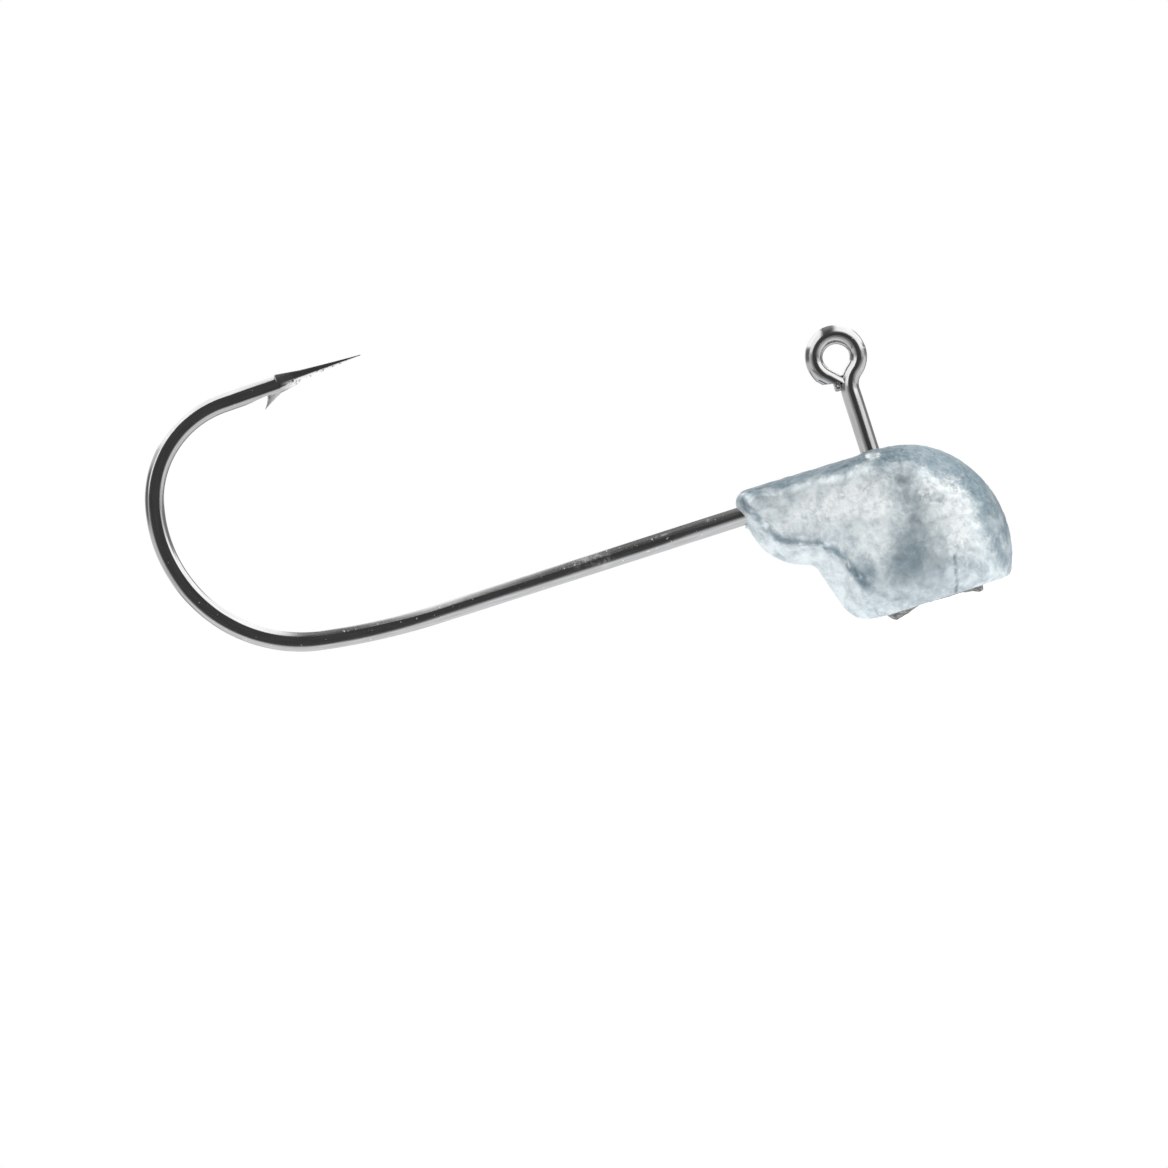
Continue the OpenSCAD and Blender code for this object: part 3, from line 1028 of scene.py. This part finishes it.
def nickel():
    """Dark bright nickel over drawn wire, with streaks and scuffs along it, pale specks, and the
    point ground bright below and painted near black above, as a painted dark reflection."""
    mat, tree, shader = new_material("dark_nickel")
    wire = attribute(tree, "wire", "Vector")
    streaks = texture(tree, stretched(tree, wire, (0.7, 14, 14)), 1.0, 4, 0.6)
    grain = texture(tree, wire, 16, 5, 0.7)
    specks = texture(tree, wire, 6, 2, 0.5).ramp(0.69, 0.76)
    scuff = texture(tree, stretched(tree, wire, (1.2, 3, 3)), 1.3, 6, 0.7).ramp(0.62, 0.76)
    rubbed = Value(tree, attribute(tree, "scuff")) * texture(tree, wire, 2.4, 6, 0.7).ramp(0.4, 0.6)
    worn = scuff * grain.ramp(0.4, 0.65) * 0.6 + rubbed * 0.9
    ground = Value(tree, attribute(tree, "ground")) * texture(tree, wire, 5, 3, 0.6).ramp(0.36, 0.46)
    painted_dark_facet = Value(tree, attribute(tree, "painted_dark_facet"))
    tone = colour_mix(tree, streaks.ramp(0.35, 0.7), NICKEL, NICKEL_STREAK)
    tone = colour_mix(tree, worn * 0.5, tone, NICKEL_WORN)
    tone = colour_mix(tree, specks * 0.8, tone, NICKEL_SPECK)
    # Painted dark reflection on the upper facets of the point
    tone = colour_mix(tree, painted_dark_facet * 0.95, tone, NICKEL_PAINTED_DARK_FACET)
    tone = colour_mix(tree, ground, tone, STEEL_GROUND)
    tree.links.new(tone, shader.inputs["Base Color"])
    shader.inputs["Metallic"].default_value = 1
    rough = 0.09 + streaks * 0.08 + worn * 0.25 + specks * 0.3 + painted_dark_facet * (0.15 + grain * 0.2)
    connect(tree, rough, shader.inputs["Roughness"])
    normal = bump(tree, streaks + grain * 0.6, 0.004 * MM, 0.6)
    tree.links.new(normal, shader.inputs["Normal"])
    return mat


def cast_lead():
    """Bare lead: satin blue-grey and mottled, with painted shade along the top, the nose, the crease, down
    the hollow and low on the body, painted glints, and rough where it was torn.
    """
    mat, tree, shader = new_material("cast_lead")
    place = object_mm(tree)
    broad = texture(tree, place, 0.55, 3, 0.5)
    patch = texture(tree, place, 1.5, 6, 0.6, 0.4)
    blotch = texture(tree, place, 3.4, 5, 0.6, 0.3)
    glint_breakup = texture(tree, place, 3.6, 8, 0.72, 0.2)
    fine = texture(tree, place, 7, 5, 0.65)
    grit = texture(tree, place, 15, 3, 0.6)
    names = ("painted_shade", "hollow", "torn", "shade", "painted_glint", "dark_lines")
    painted_shade, hollow, torn, shade, painted_glint, dark_lines = [Value(tree, attribute(tree, name)) for name in names]
    # Painted shade along the top, the nose and the crease, down the hollow and low on the body, the dark
    # lines, then random mottling
    dark = painted_shade * (0.45 + broad * 0.5) + hollow * 0.36 + shade * 0.36 + dark_lines * 0.8
    uneven = 1.75 - shade * 0.65 - hollow * 0.3
    dark = dark + (patch - 0.5) * uneven + (blotch - 0.5) * 0.7 + (fine - 0.5) * 0.5
    mask = dark.ramp(-0.4, 1.0)
    # The dark tone that the painted shade and the mottling are mixed to
    shade_and_mottle_tone = colour_mix(tree, ((fine + blotch) * 0.5).ramp(0.4, 0.6), LEAD_DARKEST, LEAD_DARK)
    tone = colour_mix(tree, mask, LEAD, shade_and_mottle_tone)
    # Painted glints, broken into flakes by noise, paler and less metallic
    bright = (painted_glint * (0.12 + glint_breakup.ramp(0.38, 0.64) * 1.4)).node("MINIMUM", 1)
    tone = colour_mix(tree, bright * 0.95, tone, LEAD_PAINTED_GLINT)
    broken = colour_mix(tree, fine.ramp(0.35, 0.65), LEAD_TORN, LEAD_TORN_PALE)
    tone = colour_mix(tree, torn, tone, broken)
    tree.links.new(tone, shader.inputs["Base Color"])
    connect(tree, 0.5 - bright * 0.48, shader.inputs["Metallic"])
    connect(tree, 0.36 + fine * 0.16 + torn * 0.3, shader.inputs["Roughness"])
    normal = bump(tree, blotch * 0.7 + patch, 0.09 * MM, 0.6)
    normal = bump(tree, fine + grit * 0.3, 0.03 * MM, 0.6, normal)
    tree.links.new(normal, shader.inputs["Normal"])
    return mat


# ---------- studio ----------

# Long diffuser beside the object: distances in mm, angles in degrees clockwise from up in the view
SOFTBOX_SIDES = (-70, -16.5)
SOFTBOX_LEAN = 12
SOFTBOX_DISTANCE = 150
SOFTBOX_NEAR = 290
SOFTBOX_FAR = -300
SOFTBOX_LEVEL = 1.8
FLOOR_HALF = 60
# Camera: lens and sensor in mm, width of the view over the part's length, and where it aims, from the
# part's middle, as shares of its length and height
LENS = 140
SENSOR = 36
VIEW_WIDTH = 1.423
AIM = (-0.014, -0.19)


def emitter(name, level):
    """A material that only glows."""
    mat = bpy.data.materials.new(name)
    mat.use_nodes = True
    tree = mat.node_tree
    tree.nodes.clear()
    glow = tree.nodes.new("ShaderNodeEmission")
    glow.inputs["Strength"].default_value = level
    out = tree.nodes.new("ShaderNodeOutputMaterial")
    tree.links.new(glow.outputs[0], out.inputs["Surface"])
    return mat, tree, glow


def softbox(centre):
    """A long diffuser beside the object, soft along its second side. Its near end leans back from there."""
    left, right = SOFTBOX_SIDES
    corners = []
    for side, depth in (
        (left, SOFTBOX_NEAR), (right - SOFTBOX_LEAN, SOFTBOX_NEAR), (right, SOFTBOX_FAR), (left, SOFTBOX_FAR),
    ):
        a = math.radians(side)
        outward = VIEW_RIGHT * math.sin(a) + VIEW_UP * math.cos(a)
        corners.append(centre + outward * SOFTBOX_DISTANCE + VIEW_TOWARD * depth)
    card = new_object("softbox_left", [c * MM for c in corners], [(0, 1, 2, 3)])
    add_attribute(card.data, "fade", np.array([0.0, 1.0, 1.0, 0.0]))
    mat, tree, glow = emitter("softbox_left", SOFTBOX_LEVEL)
    fade = Value(tree, attribute(tree, "fade")).ramp(1.0, 0.78)
    connect(tree, fade * SOFTBOX_LEVEL, glow.inputs["Strength"])
    card.data.materials.append(mat)
    card.visible_camera = False


def tent_level(tree):
    """Brightness of the light tent in each direction. alpha is the angle from the camera's side, and
    psi the angle clockwise from up in the view, both in degrees."""
    coord = tree.nodes.new("ShaderNodeTexCoord").outputs["Generated"]
    right = dot(tree, coord, VIEW_RIGHT)
    up = dot(tree, coord, VIEW_UP)
    alpha = dot(tree, coord, VIEW_TOWARD).node("ARCCOSINE") * math.degrees(1)
    psi = right.node("ARCTAN2", up) * math.degrees(1)
    # The tent's walls, a little darker low down and towards the camera
    level = over(up * 0 + 0.98, 0.7, up.ramp(-0.3, -0.7)) * (0.3 + alpha.ramp(22, 62) * 0.7)
    # Softbox on the right
    level = over(level, 1.9, psi.within(1, 71, 5) * alpha.within(40, 150, 6))
    # Dark seam overhead, and the space round the left softbox
    level = over(level, 0.1 + alpha.ramp(40, 110) * 0.3, psi.within(-60, -2, 3) * alpha.ramp(166, 158))
    # Bright patch near the camera on the left, with a dark stand behind it, and another on the right
    level = over(level, 1.7, psi.within(-84, -60, 3) * alpha.within(26, 60, 5))
    level = over(level, 0.22, psi.within(-99, -73, 4) * alpha.within(62, 125, 7))
    level = over(level, 0.35, psi.within(62, 86, 4) * alpha.within(90, 142, 5))
    # Lit backdrop, with a notch at its far edge
    level = over(level, 1.25, alpha.ramp(148, 156))
    level = over(level, 0.35, psi.within(36, 86, 7) * alpha.within(130, 168, 6))
    # Dark opening round the camera
    opening = (VIEW_TOWARD + 0.16 * VIEW_RIGHT - 0.02 * VIEW_UP).normalized()
    off = dot(tree, coord, opening).node("ARCCOSINE") * math.degrees(1)
    return over(level, 0.08, off.ramp(32, 23))


def studio_world():
    """White backdrop for the camera; for everything else a light tent with a dark opening round the
    camera, a dark seam overhead and a bright backdrop."""
    world = bpy.data.worlds.new("studio")
    bpy.context.scene.world = world
    world.use_nodes = True
    tree = world.node_tree
    tree.nodes.clear()
    seen = tree.nodes.new("ShaderNodeBackground")
    light = tree.nodes.new("ShaderNodeBackground")
    for node in (seen, light):
        node.inputs["Color"].default_value = (1, 1, 1, 1)
    connect(tree, tent_level(tree), light.inputs["Strength"])
    mix = tree.nodes.new("ShaderNodeMixShader")
    path = tree.nodes.new("ShaderNodeLightPath")
    tree.links.new(path.outputs["Is Camera Ray"], mix.inputs["Fac"])
    tree.links.new(light.outputs[0], mix.inputs[1])
    tree.links.new(seen.outputs[0], mix.inputs[2])
    out = tree.nodes.new("ShaderNodeOutputWorld")
    tree.links.new(mix.outputs[0], out.inputs["Surface"])


def make_floor():
    """A plain pale surface just under the head. It glows enough to merge with the backdrop, but its
    front and back stay dark to the wire, as the opening round the camera is."""
    half = FLOOR_HALF * MM
    z = CAD_LO.z - 0.01 * MM
    mid = (CAD_LO + CAD_HI) / 2
    signs = ((-1, -1), (1, -1), (1, 1), (-1, 1))
    corners = [(mid.x + i * half, mid.y + j * half, z) for i, j in signs]
    floor = new_object("floor", corners, [(0, 1, 2, 3)])
    mat, tree, shader = new_material("white_floor")
    shader.inputs["Base Color"].default_value = (0.12, 0.12, 0.12, 1)
    shader.inputs["Roughness"].default_value = 0.9
    shader.inputs["Emission Color"].default_value = (0.965, 0.98, 1, 1)
    place = object_mm(tree)
    aside = dot(tree, place, VIEW_TOWARD).node("ABSOLUTE")
    path = tree.nodes.new("ShaderNodeLightPath")
    lit = over(aside * 0 + 0.08, 0.55, aside.ramp(30, 20))
    lit = over(lit, 1.0, aside.ramp(14, 9))
    seen = Value(tree, path.outputs["Is Camera Ray"])
    connect(tree, over(lit, 0.93, seen), shader.inputs["Emission Strength"])
    grain = texture(tree, place, 0.6)
    tree.links.new(bump(tree, grain, 0.02 * MM, 0.2), shader.inputs["Normal"])
    floor.data.materials.append(mat)


def make_camera():
    """Long lens, square on to the hook plane."""
    size = CAD_HI - CAD_LO
    width = size.x * VIEW_WIDTH
    cam = bpy.data.cameras.new("camera")
    cam.lens = LENS
    cam.sensor_width = SENSOR
    cam.clip_start = 0.01
    obj = bpy.data.objects.new("camera", cam)
    bpy.context.scene.collection.objects.link(obj)
    aim = (CAD_LO + CAD_HI) / 2 + Vector((AIM[0] * size.x, 0, AIM[1] * size.z))
    spot = aim + VIEW_TOWARD * (LENS * width / SENSOR)
    turn = Matrix((VIEW_RIGHT, VIEW_UP, VIEW_TOWARD)).transposed()
    obj.matrix_world = Matrix.Translation(spot) @ turn.to_4x4()
    bpy.context.scene.camera = obj


def finish_piece(obj, material, node, angle):
    """Metres, material, smooth shading with crisp ridges, and its place in the frame."""
    obj.data.transform(Matrix.Scale(MM, 4))
    obj.data.materials.clear()
    obj.data.materials.append(material)
    obj.data.polygons.foreach_set("use_smooth", [True] * len(obj.data.polygons))
    obj.data.set_sharp_from_angle(angle=math.radians(angle))
    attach(obj, "root")
    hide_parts(node)


def main():
    """Builds both pieces and the studio."""
    finish_piece(build_hook(), nickel(), "hook", 30)
    finish_piece(build_head(), cast_lead(), "lead_head", 60)
    softbox(Vector((-EYE_BACK, 0, EYE_Z)))
    studio_world()
    make_floor()
    make_camera()
    scene = bpy.context.scene
    scene.view_settings.view_transform = "Standard"
    scene.view_settings.look = "None"


main()
